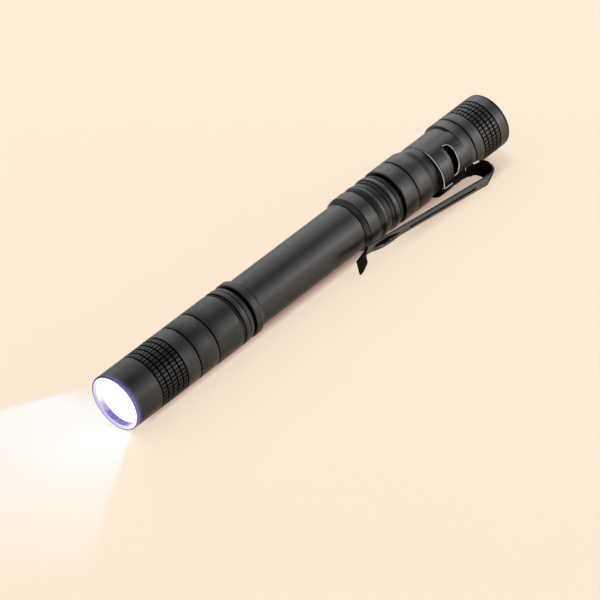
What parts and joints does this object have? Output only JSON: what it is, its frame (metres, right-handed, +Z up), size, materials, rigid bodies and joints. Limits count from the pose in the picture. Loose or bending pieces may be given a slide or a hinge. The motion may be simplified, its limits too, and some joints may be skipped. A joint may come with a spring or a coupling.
{
  "type": "pen light",
  "caption": "Slim black pen-shaped inspection torch lying on its side, with knurled lamp head, ribbed battery tube, knurled tail cap with push switch and a sprung pocket clip.",
  "frame": {"origin": "centre of the footprint on the surface the pen lies on", "axes": "+X along the pen towards the lens, +Z up from the surface, the clip points to +Y and 25 degrees down so its edge touches the surface"},
  "size_m": [0.132, 0.02, 0.0144],
  "materials": {
    "anodised_head": "satin black anodised, knurled",
    "anodised_barrel": "satin black anodised",
    "anodised_cap": "satin black anodised, knurled",
    "clip_steel": "blackened spring steel, semi-gloss",
    "lens_glass": "clear flat window, lamp lit behind it",
    "gasket_rubber": "black seal",
    "seal_rubber": "greased black o-ring",
    "reflector_metallised": "vacuum-metallised",
    "led_ceramic": "white ceramic",
    "led_silicone": "clear silicone",
    "star_board": "white solder mask",
    "pill_brass": "machined",
    "lead_red": "red insulation",
    "lead_black": "black insulation",
    "circuit_board": "green solder mask",
    "spring_steel": "nickel plated",
    "cell_metal": "nickel-plated can",
    "cell_sleeve": "plain shrink sleeve",
    "ring_brass": "threaded ring",
    "switch_plastic": "moulded",
    "plunger_plastic": "moulded",
    "boot_rubber": "matt black"
  },
  "bodies": {
    "tube": {"barrel_tube": "anodised_barrel", "front_oring": "seal_rubber", "rear_oring": "seal_rubber", "cell_front_nub": "cell_metal", "cell_front_can": "cell_metal", "cell_front_sleeve": "cell_sleeve", "cell_rear_nub": "cell_metal", "cell_rear_can": "cell_metal", "cell_rear_sleeve": "cell_sleeve"},
    "head": {"head_bezel": "anodised_head", "front_lens": "lens_glass", "lens_gasket": "gasket_rubber", "reflector": "reflector_metallised", "led_base": "led_ceramic", "led_dome": "led_silicone", "led_star_board": "star_board", "led_pill": "pill_brass", "led_lead_positive": "lead_red", "led_lead_negative": "lead_black", "driver_board": "circuit_board", "driver_contact_spring": "spring_steel"},
    "cap": {"tail_cap": "anodised_cap", "tail_contact_spring": "spring_steel", "switch_retaining_ring": "ring_brass", "switch_contact_board": "circuit_board", "switch_housing": "switch_plastic", "switch_return_spring": "spring_steel"},
    "button": {"switch_boot": "boot_rubber", "switch_plunger": "plunger_plastic"},
    "band": {"clip_band": "clip_steel"},
    "arm": {"clip_arm": "clip_steel"}
  },
  "joints": [
    {"name": "tail_button", "type": "slide", "parent": "cap", "child": "button", "axis": [1, 0, 0], "range_m": [0, 0.001], "stiffness_N_per_m": 1500},
    {"name": "tail_cap_off", "type": "slide", "parent": "tube", "child": "cap", "axis": [-1, 0, 0], "range_m": [0, 0.012]},
    {"name": "head_off", "type": "slide", "parent": "tube", "child": "head", "axis": [1, 0, 0], "range_m": [0, 0.016]},
    {"name": "clip_swivel", "type": "hinge", "parent": "tube", "child": "band", "pos_m": [-0.0454, -0.0028, 0.0072], "axis": [1, 0, 0], "continuous": true},
    {"name": "clip_flex", "type": "hinge", "parent": "band", "child": "arm", "pos_m": [-0.05405, 0.00697, 0.00259], "axis": [0, 0.427, 0.9042], "range_deg": [0, 4], "stiffness_Nm_per_rad": 1.3}
  ]
}
